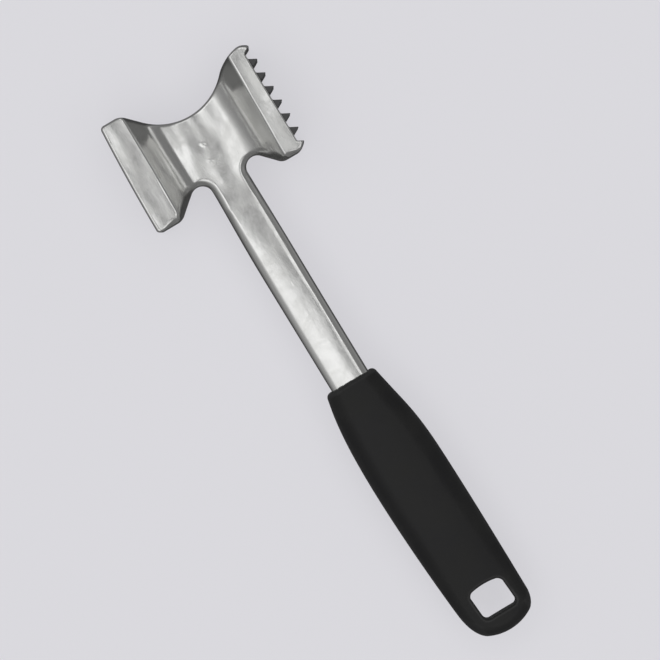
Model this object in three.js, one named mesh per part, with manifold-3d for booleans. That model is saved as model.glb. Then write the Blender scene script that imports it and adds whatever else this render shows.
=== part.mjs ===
// Meat mallet, lying on its side.
// The head, shank and tang are one aluminium casting. The tang sits in the hard core of the grip, held by two
// cross pins, and a soft black sleeve covers the core and the pins.
// Frame: +X is the way the spiked face strikes, +Y runs up the handle to the head and +Z is up, through the
// thickness. The origin is on the floor under the middle of the bounding box. Units are millimetres.

import * as THREE from 'three';
import { ConvexGeometry } from 'three/addons/geometries/ConvexGeometry.js';
import { LoftGeometry } from 'three/addons/geometries/LoftGeometry.js';
import { mergeVertices } from 'three/addons/utils/BufferGeometryUtils.js';
import Module from 'manifold-3d';

const wasm = await Module();
wasm.setup();

// Driving dimensions. "Down" is a distance along the handle from the top of the head.
const overallLength = 240;
const plateDepth = 45; // both striking plates, through the thickness
const faceReach = 32.7; // from the shank's axis to the smooth face, and to the tips of the spikes
const fitGap = 0.3; // clearance between nested pieces
const midHeight = plateDepth / 2;

// The smooth plate is a wedge: it is thicker at the end towards the handle.
const smoothPlate = { ridge: -22, top: 0, foot: 44.9, taper: 1.8, edge: 1.5 };
// The spiked plate's inner ridge leans towards the shank at its foot.
const spikedPlate = { ridgeTop: 23.1, ridgeFoot: 21.6, top: 0.5, foot: 45.7, edge: 1.6 };
const plateBevel = 0.7;
const footRadius = 1.2; // corners of both plates and the waist at their feet

const spike = { perSide: 8, pitch: 5.9, base: 3.4, height: 3, flat: 0.3, root: 0.8 };

// The waist between the plates, seen from the front: a wide scoop above, and a throat each side of the shank.
const scoop = { centre: 0.6, down: 22.8, radius: 23.5 };
// "Down" is where a plate's flank and the side of the shank would meet without the throat's round.
const throat = { radius: 4.4, left: -7.2, leftDown: 32.5, right: 7.9, rightDown: 31.3 };
// The waist seen from above: steep flanks down to a shallow hollow on the front and back.
const hollow = {
  ridgeLeft: -22.6,
  ridgeRight: 23.7,
  ridgeHalf: 23.5,
  footLeft: -15.4,
  footRight: 16.4,
  footHalf: 10.8,
  middleHalf: 9.3,
  radiusLeft: 5,
  radiusRight: 6,
  radiusMiddle: 60,
};

const shank = { halfThroat: 7.5, halfWidth: 8.3, halfRoot: 9, halfThickness: 6, squareness: 4.5, end: 131 };
// The shank's sections: down, left side, right side and half its thickness.
const shankSections = [
  [24, -shank.halfThroat + 0.2, shank.halfThroat, shank.halfRoot],
  [42, -shank.halfThroat + 0.2, shank.halfThroat + 0.2, shank.halfRoot - 0.5],
  [54, -shank.halfThroat, shank.halfThroat, (shank.halfRoot + shank.halfThickness) / 2],
  [68, -shank.halfWidth + 0.4, shank.halfWidth - 0.4, shank.halfThickness],
  [84, -shank.halfWidth, shank.halfWidth, shank.halfThickness],
  [shank.end, -shank.halfWidth, shank.halfWidth, shank.halfThickness],
];
const tang = { halfWidth: 5.5, halfThickness: 3.5, end: 207, overlap: 4 };

const grip = { start: 129, wall: 2.2, end: overallLength, squareness: 3 };
// The grip's sections: down, left side, right side and half its thickness.
const gripSections = [
  [grip.start, -10.2, 10.4, 8.2],
  [138, -12, 12.2, 9.4],
  [152, -13.8, 14.9, 10.1],
  [172, -14.3, 16.3, 10.2],
  [200, -12.6, 16.4, 9],
  [218, -11.1, 16.4, 6.9],
  [229, -10.1, 16.4, 6.3],
  [grip.end, -9.2, 16.4, 6.2],
];
// The rounded end of the grip, seen from the front.
const gripEnd = {
  sideLeft: -20,
  sideRight: 16.6,
  start: 206,
  cornerLeft: -9.1,
  radiusLeft: 8,
  bottom: 6.8,
  radiusBottom: 20,
  slope: 4.5,
  radiusRight: 4.2,
};
const hangHole = { x: 3.75, down: 226.2, width: 13.4, length: 11.2, radius: 1.9 };
const pin = { radius: 1.5, length: 14.4, positions: { tang_pin_front: 150, tang_pin_rear: 192 } };

const arcSegments = 4;
const pinSegments = 24;
const sectionPoints = 28;
const shankStep = 7; // between sections of a loft
const gripStep = 6.5;
const overrun = 3; // how far a trimming shape reaches past what it trims
const sharp = 0.1; // radius of a corner outside the piece

const yAt = (down) => overallLength / 2 - down;

// Solids in and out of the boolean library.

function toSolid(geometry) {
  const bare = new THREE.BufferGeometry();
  bare.setAttribute('position', geometry.getAttribute('position'));
  bare.setIndex(geometry.getIndex());
  const merged = mergeVertices(bare, 1e-4);
  const vertProperties = new Float32Array(merged.attributes.position.array);
  const triVerts = new Uint32Array(merged.index.array);
  return new wasm.Manifold(new wasm.Mesh({ numProp: 3, vertProperties, triVerts }));
}

function toGeometry(solid) {
  const { vertProperties, triVerts } = solid.getMesh();
  const geometry = new THREE.BufferGeometry();
  geometry.setAttribute('position', new THREE.BufferAttribute(vertProperties, 3));
  geometry.setIndex(new THREE.BufferAttribute(triVerts, 1));
  geometry.computeVertexNormals();
  return geometry;
}

// A closed outline through corners [x, y, radius], each rounded by an arc tangent to both of its sides.
function roundedShape(corners) {
  const shape = new THREE.Shape();
  corners.forEach(([x, y, radius], index) => {
    const corner = new THREE.Vector2(x, y);
    const [lastX, lastY] = corners.at(index - 1);
    const [nextX, nextY] = corners[(index + 1) % corners.length];
    const back = new THREE.Vector2(lastX, lastY).sub(corner).normalize();
    const ahead = new THREE.Vector2(nextX, nextY).sub(corner).normalize();
    const halfAngle = Math.acos(back.dot(ahead)) / 2;
    const inward = back.clone().add(ahead).normalize();
    const centre = corner.clone().addScaledVector(inward, radius / Math.sin(halfAngle));
    const reach = radius / Math.tan(halfAngle);
    const from = corner.clone().addScaledVector(back, reach).sub(centre).angle();
    const to = corner.clone().addScaledVector(ahead, reach).sub(centre).angle();
    shape.absarc(centre.x, centre.y, radius, from, to, back.cross(ahead) > 0);
  });
  return shape;
}

// A rounded rectangle about the origin.
function rectangleShape(width, height, radius) {
  const [x, y] = [width / 2, height / 2];
  return roundedShape([[-x, -y, radius], [x, -y, radius], [x, y, radius], [-x, y, radius]]);
}

// An outline in the plane of the front view, extruded through the thickness about the mid height.
function extrudeThrough(shape, depth, bevel = 0) {
  const geometry = new THREE.ExtrudeGeometry(shape, {
    depth: depth - 2 * bevel,
    bevelEnabled: bevel > 0,
    bevelThickness: bevel,
    bevelSize: bevel,
    bevelOffset: -bevel,
    bevelSegments: 2,
    curveSegments: arcSegments,
  });
  return geometry.translate(0, 0, midHeight - depth / 2 + bevel);
}

// A rounded-rectangle ring of points square to the handle: half width, half thickness and squareness.
function ring(down, { left, right, half, square }) {
  const points = [];
  for (let index = 0; index < sectionPoints; index += 1) {
    const angle = (2 * Math.PI * (index + 0.5)) / sectionPoints;
    const across = Math.sign(Math.cos(angle)) * Math.abs(Math.cos(angle)) ** (2 / square);
    const up = Math.sign(Math.sin(angle)) * Math.abs(Math.sin(angle)) ** (2 / square);
    const x = (left + right) / 2 + ((right - left) / 2) * across;
    points.push(new THREE.Vector3(x, yAt(down), midHeight + half * up));
  }
  return points;
}

// A bar along the handle, lofted smoothly through stations [down, left, right, half thickness].
function loftedBar(stations, { step, square, inset = 0 }) {
  const downs = stations.map((station) => station[0]);
  const sizes = stations.flatMap((station) => station.slice(1));
  const between = new THREE.CubicInterpolant(downs, sizes, 3);
  const [start, end] = [downs[0] + inset, downs.at(-1) - inset];
  const count = Math.max(1, Math.round((end - start) / step));
  const sections = [];
  for (let index = 0; index <= count; index += 1) {
    const down = start + ((end - start) * index) / count;
    const [left, right, half] = between.evaluate(down);
    sections.push(ring(down, { left: left + inset, right: right - inset, half: half - inset, square }));
  }
  return toSolid(new LoftGeometry(sections, { capStart: true, capEnd: true }));
}

// A cylinder through the thickness.
function crossCylinder(radius, length, down) {
  const geometry = new THREE.CylinderGeometry(radius, radius, length, pinSegments);
  return geometry.rotateX(Math.PI / 2).translate(0, yAt(down), midHeight);
}

// The head.

// Front outline of the two plates, the scoop between their tops and the throats beside the shank.
function headOutline() {
  const { ridge, taper, edge } = smoothPlate;
  const plateFace = faceReach - spike.height;
  return roundedShape([
    [-faceReach + taper, yAt(smoothPlate.top), edge],
    [ridge, yAt(smoothPlate.top), edge],
    [scoop.centre, yAt(scoop.down), scoop.radius],
    [spikedPlate.ridgeTop, yAt(spikedPlate.top), spikedPlate.edge],
    [plateFace, yAt(spikedPlate.top), spikedPlate.edge],
    [plateFace, yAt(spikedPlate.foot), spikedPlate.edge],
    [spikedPlate.ridgeFoot, yAt(spikedPlate.foot), footRadius],
    [throat.right, yAt(throat.rightDown), throat.radius],
    [throat.right, yAt(smoothPlate.foot), footRadius],
    [throat.left, yAt(smoothPlate.foot), footRadius],
    [throat.left, yAt(throat.leftDown), throat.radius],
    [ridge, yAt(smoothPlate.foot), footRadius],
    [-faceReach, yAt(smoothPlate.foot), edge],
  ]);
}

// The plates and the waist seen from above, as an outline of x and height above the mid plane.
function waistOutline() {
  const outer = faceReach + overrun;
  const upper = [
    [-outer, hollow.ridgeHalf, sharp],
    [hollow.ridgeLeft, hollow.ridgeHalf, sharp],
    [hollow.footLeft, hollow.footHalf, hollow.radiusLeft],
    [scoop.centre, hollow.middleHalf, hollow.radiusMiddle],
    [hollow.footRight, hollow.footHalf, hollow.radiusRight],
    [hollow.ridgeRight, hollow.ridgeHalf, sharp],
    [outer, hollow.ridgeHalf, sharp],
  ];
  const lower = upper.map(([x, height, radius]) => [x, -height, radius]).reverse();
  return roundedShape([...upper, ...lower]);
}

function waistBlock() {
  const depth = spikedPlate.foot + 2 * overrun;
  const settings = { depth, bevelEnabled: false, curveSegments: arcSegments };
  const geometry = new THREE.ExtrudeGeometry(waistOutline(), settings);
  geometry.rotateX(Math.PI / 2);
  return geometry.translate(0, yAt(-overrun), midHeight);
}

// One spike: a blunt pyramid on a short square root that sinks into the plate.
function spikeGeometry(y, z) {
  const plateFace = faceReach - spike.height;
  const levels = [
    [plateFace - spike.root, spike.base / 2],
    [plateFace, spike.base / 2],
    [faceReach, spike.flat / 2],
  ];
  const corners = [[-1, -1], [1, -1], [1, 1], [-1, 1]];
  const points = levels.flatMap(([x, half]) =>
    corners.map(([sideY, sideZ]) => new THREE.Vector3(x, y + sideY * half, z + sideZ * half)),
  );
  return new ConvexGeometry(points);
}

function spikeBed() {
  const middleY = yAt((spikedPlate.top + spikedPlate.foot) / 2);
  const first = -((spike.perSide - 1) * spike.pitch) / 2;
  const spikes = [];
  for (let row = 0; row < spike.perSide; row += 1) {
    for (let column = 0; column < spike.perSide; column += 1) {
      const y = middleY + first + row * spike.pitch;
      const z = midHeight + first + column * spike.pitch;
      spikes.push(toSolid(spikeGeometry(y, z)));
    }
  }
  return spikes;
}

// The shank swells into the waist at its top and keeps one rounded section down to its shoulder in the grip.
function shankBar() {
  return loftedBar(shankSections, { step: shankStep, square: shank.squareness });
}

function tangBar(clearance = 0) {
  const width = 2 * (tang.halfWidth + clearance);
  const thickness = 2 * (tang.halfThickness + clearance);
  const [start, end] = [shank.end - tang.overlap, tang.end + clearance];
  const geometry = new THREE.BoxGeometry(width, end - start, thickness);
  return toSolid(geometry.translate(0, yAt((start + end) / 2), midHeight));
}

function pinBores() {
  const bores = Object.values(pin.positions).map((down) =>
    toSolid(crossCylinder(pin.radius + fitGap, 2 * plateDepth, down)),
  );
  return bores.reduce((all, bore) => all.add(bore));
}

function headCasting() {
  const plates = toSolid(extrudeThrough(headOutline(), plateDepth, plateBevel));
  let casting = plates.intersect(toSolid(waistBlock()));
  casting = casting.add(shankBar()).add(tangBar());
  casting = spikeBed().reduce((all, one) => all.add(one), casting);
  return casting.subtract(pinBores());
}

// The grip.

// The grip's own body, or the same body shrunk all round by an inset.
function gripBody(inset = 0) {
  const bar = loftedBar(gripSections, { step: gripStep, square: grip.squareness, inset });
  const [left, right] = [gripEnd.sideLeft + inset, gripEnd.sideRight - inset];
  const [above, below] = [yAt(grip.start - overrun), yAt(grip.end - inset)];
  const end = roundedShape([
    [left, above, sharp],
    [left, yAt(gripEnd.start), sharp],
    [gripEnd.cornerLeft + inset, below, gripEnd.radiusLeft - inset],
    [gripEnd.bottom, below, gripEnd.radiusBottom - inset],
    [right, below + gripEnd.slope, gripEnd.radiusRight - inset],
    [right, above, sharp],
  ]);
  return bar.intersect(toSolid(extrudeThrough(end, plateDepth)));
}

// The block that the hang hole removes, widened all round by a margin.
function hangHoleBlock(margin = 0) {
  const { x, down, width, length, radius } = hangHole;
  const shape = rectangleShape(width + 2 * margin, length + 2 * margin, radius + margin);
  return toSolid(extrudeThrough(shape, plateDepth).translate(x, yAt(down), 0));
}

// The passage in the sleeve's front wall that the shank comes through.
function shankMouth() {
  const { halfWidth, halfThickness, squareness } = shank;
  const size = [-halfWidth - fitGap, halfWidth + fitGap, halfThickness + fitGap];
  const sections = [[grip.start - overrun, ...size], [grip.start + overrun, ...size]];
  return loftedBar(sections, { step: shankStep, square: squareness });
}

function gripSleeve() {
  const cavity = gripBody(grip.wall).subtract(hangHoleBlock(grip.wall));
  return gripBody().subtract(cavity).subtract(hangHoleBlock()).subtract(shankMouth());
}

function gripCore() {
  const inset = grip.wall + fitGap;
  const core = gripBody(inset).subtract(hangHoleBlock(inset));
  return core.subtract(tangBar(fitGap)).subtract(pinBores());
}

// The assembly.

const materials = {
  aluminium: new THREE.MeshStandardMaterial({ color: 0xb4b4b0, roughness: 0.32, metalness: 1 }),
  core: new THREE.MeshStandardMaterial({ color: 0x3a3a3c, roughness: 0.6, metalness: 0 }),
  sleeve: new THREE.MeshStandardMaterial({ color: 0x1c1c1d, roughness: 0.75, metalness: 0 }),
  steel: new THREE.MeshStandardMaterial({ color: 0x9a9c9e, roughness: 0.35, metalness: 1 }),
};

const group = new THREE.Group();

function addPiece(name, geometry, material) {
  const mesh = new THREE.Mesh(geometry, material);
  mesh.name = name;
  group.add(mesh);
}

addPiece('head_casting', toGeometry(headCasting()), materials.aluminium);
addPiece('grip_core', toGeometry(gripCore()), materials.core);
addPiece('grip_sleeve', toGeometry(gripSleeve()), materials.sleeve);
for (const [name, down] of Object.entries(pin.positions)) {
  addPiece(name, crossCylinder(pin.radius, pin.length, down), materials.steel);
}

export default group;
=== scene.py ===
"""Looks of the meat mallet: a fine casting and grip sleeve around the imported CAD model, on a pale floor.

Both pieces are solids given by a distance field in millimetres, which dual contouring turns into a mesh.
A point has three coordinates: x, across the handle; down, along the handle from the top of the head; and
rise, the height above the mid plane. A field is negative inside its solid.
"""

import math

import bpy
import numpy as np
from mathutils import Matrix, Vector


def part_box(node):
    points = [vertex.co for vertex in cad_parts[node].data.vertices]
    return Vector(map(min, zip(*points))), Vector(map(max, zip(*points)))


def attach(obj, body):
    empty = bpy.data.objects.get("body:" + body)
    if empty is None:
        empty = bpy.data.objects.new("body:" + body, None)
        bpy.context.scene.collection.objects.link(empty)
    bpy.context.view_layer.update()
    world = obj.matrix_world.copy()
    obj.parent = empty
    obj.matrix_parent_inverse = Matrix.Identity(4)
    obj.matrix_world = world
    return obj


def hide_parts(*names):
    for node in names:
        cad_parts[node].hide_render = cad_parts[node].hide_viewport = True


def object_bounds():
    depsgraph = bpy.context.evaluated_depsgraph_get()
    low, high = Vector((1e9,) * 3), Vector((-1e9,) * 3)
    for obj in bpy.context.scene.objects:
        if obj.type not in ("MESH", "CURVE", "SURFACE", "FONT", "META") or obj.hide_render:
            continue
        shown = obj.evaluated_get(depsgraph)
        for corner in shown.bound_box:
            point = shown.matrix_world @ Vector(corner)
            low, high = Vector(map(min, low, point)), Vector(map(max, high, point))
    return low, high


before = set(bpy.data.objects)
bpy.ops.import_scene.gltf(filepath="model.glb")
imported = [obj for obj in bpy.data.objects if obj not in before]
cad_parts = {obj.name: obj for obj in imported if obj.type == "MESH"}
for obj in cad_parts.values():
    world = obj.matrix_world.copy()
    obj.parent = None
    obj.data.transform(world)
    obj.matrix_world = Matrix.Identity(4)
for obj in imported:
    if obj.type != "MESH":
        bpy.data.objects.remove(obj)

CAD_LOW, CAD_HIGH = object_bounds()

MM = 0.001
HEAD_TOP = CAD_HIGH.y / MM
LENGTH = HEAD_TOP - CAD_LOW.y / MM
MID_HEIGHT = (CAD_LOW.z + CAD_HIGH.z) / 2 / MM
PLATE_HALF = (CAD_HIGH.z - CAD_LOW.z) / 2 / MM
REACH = CAD_HIGH.x / MM
GRIP_START = HEAD_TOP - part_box("grip_sleeve")[1].y / MM
TANG_END = HEAD_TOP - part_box("head_casting")[0].y / MM


# Fields


def round_and(a, b, radius):
    """The part common to two solids, with the new outer edge rounded."""
    over = np.hypot(np.maximum(a + radius, 0), np.maximum(b + radius, 0))
    return np.minimum(-radius, np.maximum(a, b)) + over


def wedge(across, along, apex, angle, half_angle):
    """Distance outside a wedge that opens from its apex towards the angle, in degrees."""
    turn, half = math.radians(angle), math.radians(half_angle)
    ahead = (across - apex[0]) * math.cos(turn) + (along - apex[1]) * math.sin(turn)
    aside = np.abs((along - apex[1]) * math.cos(turn) - (across - apex[0]) * math.sin(turn))
    flank = aside * math.cos(half) - ahead * math.sin(half)
    nearest_is_apex = ahead * math.cos(half) + aside * math.sin(half) < 0
    return np.where(nearest_is_apex, np.hypot(ahead, aside), flank)


def rectangle(across, along, half_across, half_along, radius):
    """A rounded rectangle about the origin."""
    return round_and(np.abs(across) - half_across, np.abs(along) - half_along, radius)


def ramp(value, start, end):
    """From 0 at the start to 1 at the end, smoothly."""
    share = np.clip((value - start) / (end - start), 0, 1)
    return share * share * (3 - 2 * share)


def curve(stations, at):
    """A smooth curve through stations (place, value): a natural cubic spline."""
    knots, values = np.array(stations, float).T
    gaps, slopes = np.diff(knots), np.diff(values) / np.diff(knots)
    matrix, right = np.eye(len(knots)), np.zeros(len(knots))
    for i in range(1, len(knots) - 1):
        matrix[i, i - 1 : i + 2] = gaps[i - 1], 2 * (gaps[i - 1] + gaps[i]), gaps[i]
        right[i] = 6 * (slopes[i] - slopes[i - 1])
    bend = np.linalg.solve(matrix, right)
    at = np.clip(at, knots[0], knots[-1])
    i = np.clip(np.searchsorted(knots, at) - 1, 0, len(gaps) - 1)
    past, gap = at - knots[i], gaps[i]
    slope = slopes[i] - gap * (2 * bend[i] + bend[i + 1]) / 6
    return values[i] + past * (slope + past * (bend[i] / 2 + past * (bend[i + 1] - bend[i]) / (6 * gap)))


# Head casting

# The outline from the front. The top and the foot slope, and are 0 and FOOT down at x = -SLOPE_FROM.
SLOPE_FROM = 30
TOP_SLOPE = 0.009
FOOT = 44.9
FOOT_SLOPE = 0.0145
PLATE_HEIGHT = 45
SMOOTH_FACE = 30.5
SMOOTH_FACE_LEAN = 1.8
SMOOTH_ROUND = 1.5
DOME = 0.4
DOME_MIDDLE = 22
DOME_REACH = 24
TOP_SIDE, TOP_ROUND = 34.4, 6.5
FOOT_SIDE, FOOT_ROUND = 32.7, 5.4

# The scoop is rolled along a right-angled wedge. Its edge is rounder on the right, over SCOOP_ROUNDER in x.
SCOOP_RADIUS = 23.5
SCOOP_APEX = (0.6, -10.43)
SCOOP_ROUND, SCOOP_MORE_ROUND = 1.5, 3.5
SCOOP_ROUNDER = (5, 20)

# Each throat: its radius, and the apex, direction and half angle, in degrees, of the wedge it rolls along.
THROATS = ((4.4, (-11.55, 41.7), 115.5, 25.5), (4.3, (12.25, 42.3), 68.3, 21.7))
THROAT_ROUND = 1.2

# The hollow between the plates, from above. Each arc has its start, from the bowl's middle, and its radius.
WAIST_HALF = 9.3
BOWL_MIDDLE = 0.6
BOWL_RADIUS = 85.0
FLANK = math.radians(60)
LEFT_ARC = (11.7, 7.6)
RIGHT_ARC = (9.9, 12.0)
LEFT_LEAN = 0.5
RIM_ROUND = 0.5

# How round the hollow's edge is in the outline: at the plates, what the waist adds, what the shank takes off.
EDGE_ROUND, EDGE_AT_WAIST, EDGE_OFF_SHANK = 1.1, 1.8, 1.7
EDGE_WAIST_DOWN = (12, 32)
EDGE_WAIST_ACROSS = (24, 30)
EDGE_SHANK_DOWN = (46, 64)

# The shank: its sides as (down, distance from x = 0), and its crowned faces. TO_SHANK is where the waist
# turns into it, going down, and BESIDE_SHANK is where that ends, going out.
SHANK_START = 20
SHANK_END = 131.0
SHANK_HALF = 6.0
SHANK_LEFT = [(20, 7.15), (44, 7.15), (68, 7.75), (90, 7.8), (132, 7.65)]
SHANK_RIGHT = [(20, 7.95), (44, 7.95), (68, 8.1), (90, 8.05), (132, 8.1)]
CREST, CREST_SHIFT = 1.5, 2.5
CREST_DOWN = (60, 100)
CREST_RISE = 0.1
CROWN = 110
RIGHT_FALL, RIGHT_FALL_FROM = 0.05, 4.7
TO_SHANK = (33, 72)
BESIDE_SHANK = (9, 16)

# The shank's chamfers, at 45 degrees. Moving their plane outwards fades them out above and beside the shank.
CHAMFER_MIDDLE, CHAMFER_HALF = 0.6, 6.25
CHAMFER_ROUND = 0.9
CHAMFER_OUT_ABOVE, CHAMFER_ABOVE = 5, (34, 54)
CHAMFER_OUT_BESIDE, CHAMFER_BESIDE = 30, (9, 13)

# The spikes, from the bed up.
SPIKES = 8
PITCH, PITCH_ACROSS = 5.9, 5.74
SPIKE_HALF, SPIKE_TIP = 1.7, 0.13
SPIKE_HEIGHT = 3.0
SPIKES_MIDDLE = 23.0
SPIKE_FOOT_ROUND = 0.4
SPIKE_RIM_ROUND = 0.3
BED = REACH - SPIKE_HEIGHT

# The tang inside the grip, and the bores of its pins.
TANG_START = 120
TANG_HALF_WIDTH, TANG_HALF_THICKNESS = 5.5, 3.5
TANG_ROUND = 0.8
PIN_DOWNS = (150.0, 192.0)
PIN_BORE = 1.8

# Two small dents in the front, at (x, down).
NICKS = ((-0.9, 24.9), (-1.6, 31.8))
NICK_SIZE = 0.55
NICK_DEPTH = 0.11


def front_outline(x, down):
    """The head and shank as seen from the front: both plates, the scoop above and the throats below."""
    top = (x + SLOPE_FROM) * TOP_SLOPE - down
    foot = down - FOOT - (x + SLOPE_FROM) * FOOT_SLOPE
    dome = DOME * (1 - ((down - DOME_MIDDLE) / DOME_REACH) ** 2)
    face = -x - SMOOTH_FACE - SMOOTH_FACE_LEAN * down / PLATE_HEIGHT - dome
    smooth_end = round_and(face, np.maximum(top, foot), SMOOTH_ROUND)
    top_corner = round_and(x - TOP_SIDE, top, TOP_ROUND)
    foot_corner = round_and(x - FOOT_SIDE, foot, FOOT_ROUND)
    plates = np.maximum(smooth_end, np.maximum(top_corner, foot_corner))
    scoop = SCOOP_RADIUS - wedge(x, down, SCOOP_APEX, -90, 45)
    plates = round_and(plates, scoop, SCOOP_ROUND + SCOOP_MORE_ROUND * ramp(x, *SCOOP_ROUNDER))
    sides = np.maximum(-x - curve(SHANK_LEFT, down), x - curve(SHANK_RIGHT, down))
    strip = np.maximum(np.maximum(sides, down - SHANK_END), SHANK_START - down)
    left, right = (radius - wedge(x, down, apex, turn, half) for radius, apex, turn, half in THROATS)
    plates = round_and(plates, np.maximum(left, right), THROAT_ROUND)
    return np.minimum(plates, strip)


def hollow_side(across, start, radius):
    """The height and tilt of one side of the hollow: a shallow bowl, then an arc up to the straight flank."""
    first = start / BOWL_RADIUS
    centre = start - radius * math.sin(first)
    end = centre + radius * math.sin(FLANK)
    bowl = np.minimum(across, start) ** 2 / (2 * BOWL_RADIUS)
    tilt = np.arcsin(np.clip((across - centre) / radius, math.sin(first), math.sin(FLANK)))
    arc = radius * (math.cos(first) - np.cos(tilt))
    flank = np.maximum(across - end, 0) * math.tan(FLANK)
    return bowl + arc + flank, np.where(across < start, across / BOWL_RADIUS, tilt)


def waist_profile(x, down, rise):
    """The front and back faces, with the hollow between the plates, as seen from above."""
    lean = (down - PLATE_HALF) / (2 * PLATE_HALF)
    left, left_tilt = hollow_side(BOWL_MIDDLE - x - LEFT_LEAN * lean, *LEFT_ARC)
    right, right_tilt = hollow_side(x - BOWL_MIDDLE + lean, *RIGHT_ARC)
    height = WAIST_HALF + np.where(x < BOWL_MIDDLE, left, right)
    tilt = np.where(x < BOWL_MIDDLE, left_tilt, right_tilt)
    bowl = WAIST_HALF + (x - BOWL_MIDDLE) ** 2 / (2 * BOWL_RADIUS)
    crest = CREST + CREST_SHIFT * ramp(down, *CREST_DOWN)
    fall = RIGHT_FALL * np.maximum(x - RIGHT_FALL_FROM, 0)
    shank_top = SHANK_HALF + CREST_RISE - (x - crest) ** 2 / CROWN - fall
    to_shank = ramp(down, *TO_SHANK) * (1 - ramp(np.abs(x), *BESIDE_SHANK))
    height = height + (shank_top - bowl) * to_shank
    surface = (np.abs(rise) - height) * np.cos(tilt)
    return round_and(np.abs(rise) - PLATE_HALF, surface, RIM_ROUND)


def spiked_face(x, down, rise):
    """The flat bed with its rows of blunt pyramids. The corner ones keep the plate's own outer sides."""
    last = (SPIKES - 1) / 2
    row = np.clip(np.round((down - SPIKES_MIDDLE) / PITCH + last), 0, 2 * last) - last
    column = np.clip(np.round(rise / PITCH_ACROSS + last), 0, 2 * last) - last
    along = down - SPIKES_MIDDLE - row * PITCH
    across = rise - column * PITCH_ACROSS
    corner = (np.abs(row) == last) & (np.abs(column) == last)
    along = np.where(corner, -along * np.sign(row), np.abs(along))
    across = np.where(corner, -across * np.sign(column), np.abs(across))
    run = SPIKE_HALF - SPIKE_TIP
    inset = SPIKE_HALF - (x - BED) * run / SPIKE_HEIGHT
    flank = (np.maximum(along, across) - inset) * SPIKE_HEIGHT / math.hypot(run, SPIKE_HEIGHT)
    spikes = np.maximum(flank, x - REACH)
    return -round_and(BED - x, -spikes, SPIKE_FOOT_ROUND)


def casting_field(x, down, rise):
    """The one-piece head, shank and tang, with the bores of both pins."""
    at_waist = ramp(down, *EDGE_WAIST_DOWN) * (1 - ramp(np.abs(x), *EDGE_WAIST_ACROSS))
    edge = EDGE_ROUND + EDGE_AT_WAIST * at_waist - EDGE_OFF_SHANK * ramp(down, *EDGE_SHANK_DOWN)
    body = round_and(front_outline(x, down), waist_profile(x, down, rise), edge)
    top = WAIST_HALF + (SHANK_HALF - WAIST_HALF) * ramp(down, *TO_SHANK)
    corner = (np.abs(x - CHAMFER_MIDDLE) - CHAMFER_HALF + np.abs(rise) - top) / math.sqrt(2)
    corner = corner - CHAMFER_OUT_ABOVE * (1 - ramp(down, *CHAMFER_ABOVE))
    corner = corner - CHAMFER_OUT_BESIDE * ramp(np.abs(x), *CHAMFER_BESIDE)
    body = round_and(body, corner, CHAMFER_ROUND)
    for nick_x, nick_down in NICKS:
        along, across = (x - nick_x + down - nick_down) / 2, x - nick_x - down + nick_down
        depth = NICK_DEPTH * np.exp(-(along**2 + across**2) / (2 * NICK_SIZE**2))
        body = body + np.where(rise > 0, depth, 0)
    body = round_and(body, spiked_face(x, down, rise), SPIKE_RIM_ROUND)
    tang = rectangle(x, rise, TANG_HALF_WIDTH, TANG_HALF_THICKNESS, TANG_ROUND)
    tang = np.maximum(np.maximum(tang, TANG_START - down), down - TANG_END)
    body = np.minimum(body, tang)
    for pin_down in PIN_DOWNS:
        body = np.maximum(body, PIN_BORE - np.hypot(x, down - pin_down))
    return body


def rough_bed_with_painted_shade(x, down, rise):
    """1 on the spiked bed, which is rougher and darkened with painted shade, and 0 on the polished sides."""
    inside_rim = 1 - ramp(np.abs(rise), PLATE_HALF - 0.45, PLATE_HALF - 0.15)
    return ramp(x, BED - 0.2, BED + 0.3) * inside_rim


# Grip sleeve

# Its sides and half its thickness, as (down, distance from x = 0 or from the mid plane).
GRIP_LEFT = [(129, 10.2), (138, 12), (152, 13.8), (172, 14.3), (200, 12.85), (218, 11.45), (240, 9.6)]
GRIP_RIGHT = [(129, 10.4), (138, 12.2), (152, 14.9), (172, 16.3), (200, 16.75), (240, 16.8)]
GRIP_HALF = [(129, 8.2), (138, 9.4), (152, 10.1), (172, 10.2), (200, 9), (218, 6.9), (229, 6.3), (240, 6.1)]
GRIP_CROWN = 110
GRIP_ROUNDNESS = 0.72
GRIP_START_ROUND = 1.6
END_MIDDLE, END_RADIUS = 3.6, 19.9
END_ROUND_RIGHT, END_ROUND_LEFT = 3.4, 5.0
WALL = 2.1

# The mouth for the shank.
MOUTH_MIDDLE, MOUTH_HALF = 0.2, 8.2
MOUTH_CLEARANCE = 0.3
MOUTH_ROUND = 3.2
MOUTH_PAST_SHANK = 1
MOUTH_RIM = 0.5

# The hang hole: its middle, how far it reaches up, down and across from there, and how far its top bows.
HOLE = (3.75, 226.2)
HOLE_UP, HOLE_DOWN, HOLE_HALF = 5.4, 6.2, 6.95
HOLE_LEAN = 0.07
HOLE_BOW, HOLE_BOW_REACH = 0.9, 6.5
HOLE_ROUND = 1.9
HOLE_RIM = 1.0


def hole_field(x, down):
    """The hang hole: nearly square, leaning with the left side of the grip, its upper side bowed out."""
    across = x - HOLE[0] - (down - HOLE[1]) * HOLE_LEAN
    bow = HOLE_BOW * np.clip(1 - (across / HOLE_BOW_REACH) ** 2, 0, 1)
    top = HOLE[1] - HOLE_UP - bow - down
    bottom = down - HOLE[1] - HOLE_DOWN
    return round_and(np.abs(across) - HOLE_HALF, np.maximum(top, bottom), HOLE_ROUND)


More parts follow.
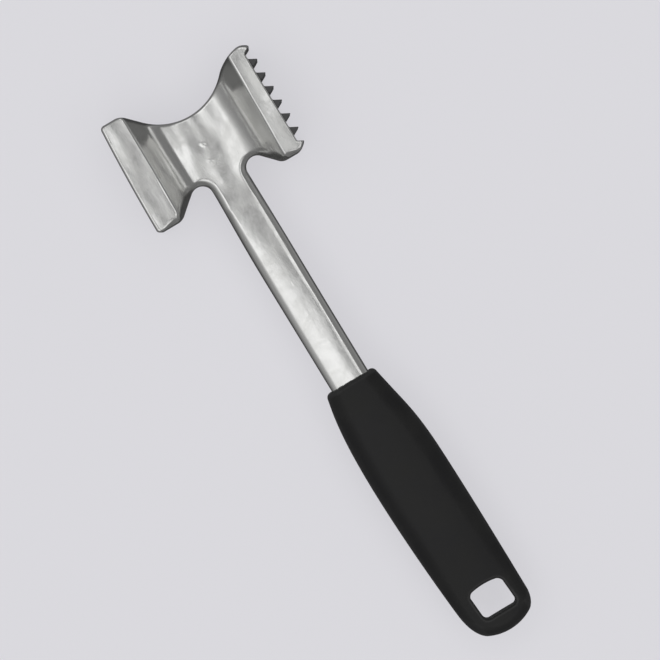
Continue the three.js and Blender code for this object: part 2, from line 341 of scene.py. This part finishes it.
def grip_field(x, down, rise):
    """The grip's outer body, without its hole: an oval bar with a round end."""
    left = -x - curve(GRIP_LEFT, down)
    right = x - curve(GRIP_RIGHT, down)
    half = curve(GRIP_HALF, down)
    middle = (curve(GRIP_RIGHT, down) - curve(GRIP_LEFT, down)) / 2
    end = np.hypot(x - END_MIDDLE, np.maximum(down - LENGTH + END_RADIUS, 0)) - END_RADIUS
    outline = round_and(round_and(right, end, END_ROUND_RIGHT), left, END_ROUND_LEFT)
    crown = (x - middle) ** 2 / GRIP_CROWN
    body = round_and(outline, np.abs(rise) - half + crown, GRIP_ROUNDNESS * half)
    return round_and(body, GRIP_START - down, GRIP_START_ROUND)


def sleeve_field(x, down, rise):
    """The soft sleeve: a shell around the core, with the mouth for the shank and a lined hole."""
    body = grip_field(x, down, rise)
    hole = hole_field(x, down)
    outer = round_and(body, -hole, HOLE_RIM)
    cavity = np.maximum(body + WALL, WALL - hole)
    mouth = rectangle(x - MOUTH_MIDDLE, rise, MOUTH_HALF, SHANK_HALF + MOUTH_CLEARANCE, MOUTH_ROUND)
    mouth = np.maximum(mouth, down - SHANK_END - MOUTH_PAST_SHANK)
    return np.maximum(round_and(outer, -mouth, MOUTH_RIM), -cavity)


# From field to mesh

HALVINGS = 12
STEADINESS = 0.02
# How far around a vertex the field is sampled to mark edges for wear and painted highlight, and creases for
# painted shade.
WEAR_AND_SHADE_REACH = 0.7


def spaced(*runs):
    """Grid lines from runs (start, end, step), each starting where the last one ends."""
    lines = [np.linspace(a, b, max(2, round((b - a) / step) + 1))[:-1] for a, b, step in runs]
    return np.concatenate(lines + [[runs[-1][1]]])


def gradient(field, points, reach=0.03):
    """The field's slope at each point."""
    columns = []
    for axis in range(3):
        shift = np.zeros(3)
        shift[axis] = reach
        columns.append((field(*(points + shift).T) - field(*(points - shift).T)) / (2 * reach))
    return np.array(columns).T


def crossings(field, lines, values, axis):
    """The grid edges along one axis that cross the surface: lower ends, crossing points and their sense."""
    inside = np.moveaxis(values < 0, axis, 0)
    place = np.argwhere(np.moveaxis(inside[:-1] != inside[1:], 0, axis))
    point = np.array([lines[i][place[:, i]] for i in range(3)]).T
    outward = values[tuple(place.T)] < 0
    near, far = point[:, axis].copy(), lines[axis][place[:, axis] + 1]
    for _ in range(HALVINGS):
        point[:, axis] = (near + far) / 2
        before = (field(*point.T) < 0) == outward
        near = np.where(before, point[:, axis], near)
        far = np.where(before, far, point[:, axis])
    return place, point, outward


def dual_contour(field, lines):
    """Vertices, normals and quads of the field's surface on a grid."""
    values = field(*np.meshgrid(*lines, indexing="ij"))
    shape = [len(line) - 1 for line in lines]
    quads, samples = [], []
    for axis in range(3):
        place, point, outward = crossings(field, lines, values, axis)
        around = []
        for step_b, step_c in ((1, 1), (0, 1), (0, 0), (1, 0)):
            cell = place.copy()
            cell[:, (axis + 1) % 3] -= step_b
            cell[:, (axis + 2) % 3] -= step_c
            around.append(np.ravel_multi_index(cell.T, shape))
        around = np.array(around).T
        quads.append(np.where(outward[:, None], around, around[:, ::-1]))
        slope = gradient(field, point)
        samples.append((around, point, slope / np.linalg.norm(slope, axis=1, keepdims=True)))
    cells, quads = np.unique(np.concatenate(quads), return_inverse=True)
    quads = quads.reshape(-1, 4)
    count = len(cells)
    mean, weight = np.zeros((count, 3)), np.zeros(count)
    matrix, right = np.zeros((count, 3, 3)), np.zeros((count, 3))
    for around, point, normal in samples:
        offset = np.sum(point * normal, axis=1)
        for corner in range(4):
            index = np.searchsorted(cells, around[:, corner])
            weight += np.bincount(index, minlength=count)
            for i in range(3):
                mean[:, i] += np.bincount(index, point[:, i], count)
                right[:, i] += np.bincount(index, normal[:, i] * offset, count)
                for j in range(3):
                    matrix[:, i, j] += np.bincount(index, normal[:, i] * normal[:, j], count)
    mean /= weight[:, None]
    steady = STEADINESS * weight[:, None, None] * np.eye(3)
    pull = right - np.einsum("nij,nj->ni", matrix, mean)
    vertices = mean + np.linalg.solve(matrix + steady, pull[:, :, None])[:, :, 0]
    cell = np.array(np.unravel_index(cells, shape))
    for i in range(3):
        vertices[:, i] = np.clip(vertices[:, i], lines[i][cell[i]], lines[i][cell[i] + 1])
    return vertices, gradient(field, vertices), quads


def set_attribute(mesh, name, values):
    """One number for each vertex, which the materials read by name."""
    mesh.attributes.new(name, "FLOAT", "POINT").data.foreach_set("value", values.astype(np.float32))


def field_piece(name, field, lines, bed_roughness_and_shade=None):
    """An object for a field, in metres, with the field's own normals, and its edges and creases marked for
    wear, painted highlight and painted shade.
    """
    vertices, normals, quads = dual_contour(field, lines)
    turned = np.array([1.0, -1.0, 1.0])
    places = (vertices * turned + np.array([0, HEAD_TOP, MID_HEIGHT])) * MM
    mesh = bpy.data.meshes.new(name)
    mesh.from_pydata(places.tolist(), [], quads[:, ::-1].tolist())
    mesh.polygons.foreach_set("use_smooth", np.ones(len(quads), bool))
    normals = normals * turned
    normals /= np.linalg.norm(normals, axis=1, keepdims=True)
    mesh.normals_split_custom_set_from_vertices(normals.tolist())
    shifts = [WEAR_AND_SHADE_REACH * sign * np.eye(3)[i] for i in range(3) for sign in (-1, 1)]
    around = sum(field(*(vertices + shift).T) for shift in shifts)
    # Positive on edges, for wear and painted highlight; negative in creases, for painted shade.
    set_attribute(mesh, "edge", around / WEAR_AND_SHADE_REACH)
    if bed_roughness_and_shade:
        # The spiked bed's mask: rougher, with painted shade.
        set_attribute(mesh, "rough_bed_painted_shade", bed_roughness_and_shade(*vertices.T))
    piece = bpy.data.objects.new(name, mesh)
    bpy.context.scene.collection.objects.link(piece)
    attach(piece, "root")
    return piece


FINE = 0.45
SHANK_STEP = 1.4
BORE_STEP = 0.6
GRIP_STEP = 0.6

casting_down = spaced(
    (-0.9, 49, FINE),
    (49, 146, SHANK_STEP),
    (146, 154, BORE_STEP),
    (154, 188, SHANK_STEP),
    (188, 196, BORE_STEP),
    (196, 208.4, SHANK_STEP),
)
casting_lines = (spaced((-33.3, 33.3, FINE)), casting_down, spaced((-23.1, 23.1, FINE)))
casting = field_piece("casting", casting_field, casting_lines, rough_bed_with_painted_shade)
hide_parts("head_casting")

sleeve_lines = tuple(spaced((*ends, GRIP_STEP)) for ends in ((-15.2, 17.4), (128, 241.2), (-11.1, 11.1)))
sleeve = field_piece("sleeve", sleeve_field, sleeve_lines)
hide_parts("grip_sleeve")


# Materials


def add_node(material, kind, inputs=(), **settings):
    """A shader node with its settings, and with inputs that are either values or other nodes' outputs."""
    node = material.node_tree.nodes.new("ShaderNode" + kind)
    for name, value in settings.items():
        setattr(node, name, value)
    for name, value in dict(inputs).items():
        if isinstance(value, bpy.types.NodeSocket):
            material.node_tree.links.new(value, node.inputs[name])
        else:
            node.inputs[name].default_value = value
    return node


def noise(material, scale, detail=3.0, roughness=0.5, stretch=(1, 1, 1), distortion=0.0):
    """Noise in the object's own space, with about scale features to the metre."""
    place = add_node(material, "TexCoord").outputs["Object"]
    mapping = add_node(material, "Mapping", {"Vector": place, "Scale": stretch})
    values = {"Vector": mapping.outputs[0], "Scale": scale, "Detail": detail}
    values.update({"Roughness": roughness, "Distortion": distortion})
    return add_node(material, "TexNoise", values).outputs["Fac"]


def spread(material, value, low, high, start=0.0, end=1.0):
    """A value between start and end, taken from low to high with smooth ends."""
    values = {"Value": value, "From Min": low, "From Max": high, "To Min": start, "To Max": end}
    return add_node(material, "MapRange", values, interpolation_type="SMOOTHSTEP").outputs[0]


def blend(material, share, first, second):
    """One colour mixed into another by a share."""
    mix = add_node(material, "Mix", data_type="RGBA")
    for index, value in ((0, share), (6, first), (7, second)):
        if isinstance(value, bpy.types.NodeSocket):
            material.node_tree.links.new(value, mix.inputs[index])
        else:
            mix.inputs[index].default_value = value if index == 0 else (*value, 1)
    return mix.outputs[2]


def sum_of(material, *terms):
    """The sum of terms (value, factor)."""
    total = None
    for value, factor in terms:
        term = add_node(material, "Math", {0: value, 1: factor}, operation="MULTIPLY").outputs[0]
        if total is not None:
            term = add_node(material, "Math", {0: total, 1: term}, operation="ADD").outputs[0]
        total = term
    return total


def bumps(material, *layers):
    """Bump nodes one on another, from layers (height, strength, distance in metres)."""
    normal = None
    for height, strength, distance in layers:
        values = {"Height": height, "Strength": strength, "Distance": distance}
        if normal is not None:
            values["Normal"] = normal
        normal = add_node(material, "Bump", values).outputs[0]
    return normal


def new_material(name, **constants):
    """A material and its shader, with values that are the same all over."""
    material = bpy.data.materials.new(name)
    material.use_nodes = True
    shader = material.node_tree.nodes["Principled BSDF"]
    for socket, value in constants.items():
        shader.inputs[socket.replace("_", " ")].default_value = value
    return material, shader


def connect(material, shader, **sources):
    """Drive the shader's inputs from other nodes' outputs."""
    for socket, source in sources.items():
        material.node_tree.links.new(source, shader.inputs[socket.replace("_", " ")])


POLISH = 0.12
RUBBER = 0.48
CALM = (40, 66)


def cast_aluminium():
    """Die-cast aluminium with a satin shine: soft smudges, fine grain, worn edges with a painted highlight,
    dull corners with painted shade.
    """
    material, shader = new_material("cast_aluminium", Metallic=1.0)
    edge = add_node(material, "Attribute", attribute_name="edge").outputs["Fac"]
    # Worn edges: a lighter colour as a painted highlight, and a little smoother.
    wear_and_painted_highlight = spread(material, edge, 0.15, 0.9)
    # Painted shade: creases, where the edge value is negative, get a darker colour and are rougher.
    crease_with_painted_shade = spread(material, edge, -0.15, -0.8)
    cloud = spread(material, noise(material, 90, 4, 0.6, distortion=0.6), 0.35, 0.65)
    smudge = spread(material, noise(material, 260, 5, 0.7), 0.4, 0.7)
    scratch = spread(material, noise(material, 1, 3, 0.6, stretch=(2400, 110, 2400)), 0.62, 0.74)
    grain = noise(material, 2600, 3, 0.7)
    place = add_node(material, "TexCoord").outputs["Object"]
    along = add_node(material, "SeparateXYZ", {0: place}).outputs[1]
    strength = spread(material, along, (HEAD_TOP - CALM[1]) * MM, (HEAD_TOP - CALM[0]) * MM, 0.35, 1.0)
    wave = noise(material, 60, 1, 0.5, stretch=(1, 0.4, 1))
    wave = add_node(material, "Math", {0: wave, 1: strength}, operation="MULTIPLY").outputs[0]
    ripple = noise(material, 260, 2, 0.5, stretch=(1, 0.5, 1))
    colour = blend(material, cloud, (0.86, 0.86, 0.85), (0.80, 0.80, 0.785))
    # Painted shade: a darker colour in the creases.
    colour = blend(material, crease_with_painted_shade, colour, (0.50, 0.50, 0.49))
    # Painted highlight: a lighter colour on the worn edges.
    colour = blend(material, wear_and_painted_highlight, colour, (0.90, 0.90, 0.89))
    rough_bed_painted_shade = add_node(material, "Attribute", attribute_name="rough_bed_painted_shade").outputs["Fac"]
    # Painted shade: a much darker colour on the spiked bed.
    colour = blend(material, rough_bed_painted_shade, colour, (0.30, 0.30, 0.305))
    marks = ((cloud, 0.08), (smudge, 0.05), (scratch, 0.06), (grain, 0.06))
    wear = ((crease_with_painted_shade, 0.12), (wear_and_painted_highlight, -0.03), (rough_bed_painted_shade, 0.15))
    rough = sum_of(material, *marks, *wear)
    rough = add_node(material, "Math", {0: rough, 1: POLISH}, operation="ADD").outputs[0]
    swell = ((wave, 1.0, 0.0017), (ripple, 0.4, 0.00012))
    normal = bumps(material, *swell, (grain, 0.12, 0.00006), (scratch, -0.1, 0.00003))
    connect(material, shader, Base_Color=colour, Roughness=rough, Normal=normal)
    return material


def grip_skin():
    """Soft black rubber with a fine matte texture, its worn edges lightened with a painted highlight."""
    sheen = {"Sheen_Weight": 0.05, "Sheen_Roughness": 0.4}
    material, shader = new_material("grip_skin", **sheen, Specular_IOR_Level=0.35)
    pebble = noise(material, 4200, 2, 0.6)
    hand = spread(material, noise(material, 70, 4, 0.6), 0.35, 0.7)
    edge = add_node(material, "Attribute", attribute_name="edge").outputs["Fac"]
    # Worn edges of the rubber: a lighter colour as a painted highlight.
    wear_and_painted_highlight = spread(material, edge, 0.1, 0.7)
    colour = blend(material, hand, (0.011, 0.011, 0.0115), (0.0155, 0.0155, 0.015))
    # Painted highlight: a lighter colour on the edges.
    colour = blend(material, wear_and_painted_highlight, colour, (0.026, 0.026, 0.026))
    terms = ((hand, 0.1), (pebble, 0.12), (wear_and_painted_highlight, -0.08))
    rough = add_node(material, "Math", {0: sum_of(material, *terms), 1: RUBBER}, operation="ADD").outputs[0]
    normal = bumps(material, (hand, 0.1, 0.0002), (pebble, 0.35, 0.00006))
    connect(material, shader, Base_Color=colour, Roughness=rough, Normal=normal)
    return material


def core_plastic():
    """The hard grey plastic inside the grip, with faint flow marks."""
    material, shader = new_material("core_plastic")
    flow = noise(material, 60, 3, 0.6, stretch=(4, 1, 4), distortion=1.0)
    colour = blend(material, spread(material, flow, 0.3, 0.7), (0.035, 0.035, 0.037), (0.05, 0.05, 0.052))
    rough = spread(material, flow, 0.2, 0.8, 0.35, 0.55)
    connect(material, shader, Base_Color=colour, Roughness=rough, Normal=bumps(material, (flow, 0.1, 0.0001)))
    return material


def pin_steel():
    """Drawn steel with fine lines around it from turning."""
    material, shader = new_material("pin_steel", Metallic=1.0)
    lines = noise(material, 1, 2, 0.6, stretch=(100, 100, 6000))
    colour = blend(material, lines, (0.50, 0.50, 0.51), (0.62, 0.62, 0.62))
    rough = spread(material, lines, 0.2, 0.8, 0.25, 0.4)
    normal = bumps(material, (lines, 0.1, 0.00003))
    connect(material, shader, Base_Color=colour, Roughness=rough, Normal=normal)
    return material


FLOOR_COLOUR = (0.20, 0.20, 0.2075, 1)
FLOOR_GLOW = (0.547, 0.541, 0.570, 1)


def pale_floor():
    """The plain pale ground."""
    material, shader = new_material("pale_floor", Base_Color=FLOOR_COLOUR, Roughness=0.9)
    shader.inputs["Emission Color"].default_value = FLOOR_GLOW
    shader.inputs["Emission Strength"].default_value = 1.0
    return material


casting.data.materials.append(cast_aluminium())
sleeve.data.materials.append(grip_skin())
finishes = {"grip_core": core_plastic(), "tang_pin_front": pin_steel(), "tang_pin_rear": pin_steel()}
for name, finish in finishes.items():
    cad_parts[name].data.materials.clear()
    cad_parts[name].data.materials.append(finish)


# Camera, light and floor

ROLL = math.radians(31.2)
DISTANCE = 2.0
SHOWN = 0.2477
SENSOR = 36
AIM = Vector((0.0037, 0.0112, MID_HEIGHT * MM))
STAND = Vector((0.0036, 0.055, MID_HEIGHT * MM + DISTANCE))


def add_object(name, data):
    """A new object in the scene."""
    thing = bpy.data.objects.new(name, data)
    bpy.context.scene.collection.objects.link(thing)
    return thing


def set_camera():
    """A long lens straight above the head, with the handle running to the lower right."""
    camera = add_object("camera", bpy.data.cameras.new("camera"))
    back = (STAND - AIM).normalized()
    right = Vector((math.sin(ROLL), math.cos(ROLL), 0)).cross(back).normalized()
    turn = Matrix((right, back.cross(right), back)).transposed()
    camera.matrix_world = Matrix.Translation(STAND) @ turn.to_4x4()
    camera.data.sensor_width = SENSOR
    camera.data.lens = camera.data.sensor_width * DISTANCE / SHOWN
    bpy.context.scene.camera = camera


def soft_box(name, middle, size, brightness, glossy=True):
    """A rectangular light that faces the ground, of a given brightness as seen in a mirror."""
    light = bpy.data.lights.new(name, "AREA")
    light.shape = "RECTANGLE"
    light.size, light.size_y = size
    light.energy = brightness * math.pi * size[0] * size[1]
    box = add_object(name, light)
    box.location = middle
    box.visible_glossy = glossy


# How bright the surroundings are at an angle from straight up: to the left below 0, to the right above.
STUDIO = (
    (-180, 0.06), (-116, 0.06), (-106, 0.14), (-90, 0.15), (-74, 0.24), (-58, 0.27), (-40, 0.38),
    (-28, 0.60), (-18, 1.00), (-8.5, 1.08), (-4.5, 0.42), (0, 0.16), (3.2, 0.25), (5.0, 1.00), (14, 1.15),
    (17, 0.20), (35, 0.17), (42, 0.22), (56, 0.19), (66, 0.22), (76, 0.30), (90, 0.16), (104, 0.16),
    (116, 0.06), (180, 0.06),
)
# Between these shares of the way to either end of the handle, they turn to a single brightness.
END_SHARES = (0.45, 0.8)
END_BRIGHTNESS = 0.17
FILL = 1.5
FILL_HEIGHT, FILL_SIZE = 3.0, 3


def light_scene():
    """Soft surroundings, brighter on each side of the camera and dark below, and the floor's own light."""
    world = bpy.data.worlds.new("studio")
    world.use_nodes = True
    facing = add_node(world, "TexCoord").outputs["Generated"]
    split = add_node(world, "SeparateXYZ", {0: facing})
    turn = add_node(world, "Math", {0: split.outputs[0], 1: split.outputs[2]}, operation="ARCTAN2").outputs[0]
    share = add_node(world, "MapRange", {0: turn, 1: -math.pi, 2: math.pi}).outputs[0]
    ramp_node = add_node(world, "ValToRGB", {0: share})
    stops = ramp_node.color_ramp.elements
    while len(stops) < len(STUDIO):
        stops.new(0.5)
    for stop, (degrees, brightness) in zip(stops, STUDIO):
        stop.position = (degrees + 180) / 360
        stop.color = (brightness, brightness, brightness, 1)
    along = add_node(world, "Math", {0: split.outputs[1]}, operation="ABSOLUTE").outputs[0]
    near_end = spread(world, along, *END_SHARES)
    colour = blend(world, near_end, ramp_node.outputs[0], (END_BRIGHTNESS, END_BRIGHTNESS, END_BRIGHTNESS))
    world.node_tree.links.new(colour, world.node_tree.nodes["Background"].inputs["Color"])
    bpy.context.scene.world = world
    soft_box("floor_fill", (0, 0, FILL_HEIGHT), (FILL_SIZE, FILL_SIZE), FILL, glossy=False)
    bpy.context.scene.view_settings.view_transform = "Standard"


FLOOR_HALF = 3


def set_floor():
    """A wide pale floor, left out of reflections so that the metal's edges stay dark against it."""
    mesh = bpy.data.meshes.new("floor")
    corners = [(-1, -1), (1, -1), (1, 1), (-1, 1)]
    mesh.from_pydata([(x * FLOOR_HALF, y * FLOOR_HALF, 0) for x, y in corners], [], [(0, 1, 2, 3)])
    mesh.materials.append(pale_floor())
    floor = add_object("floor", mesh)
    floor.visible_glossy = False


set_camera()
light_scene()
set_floor()
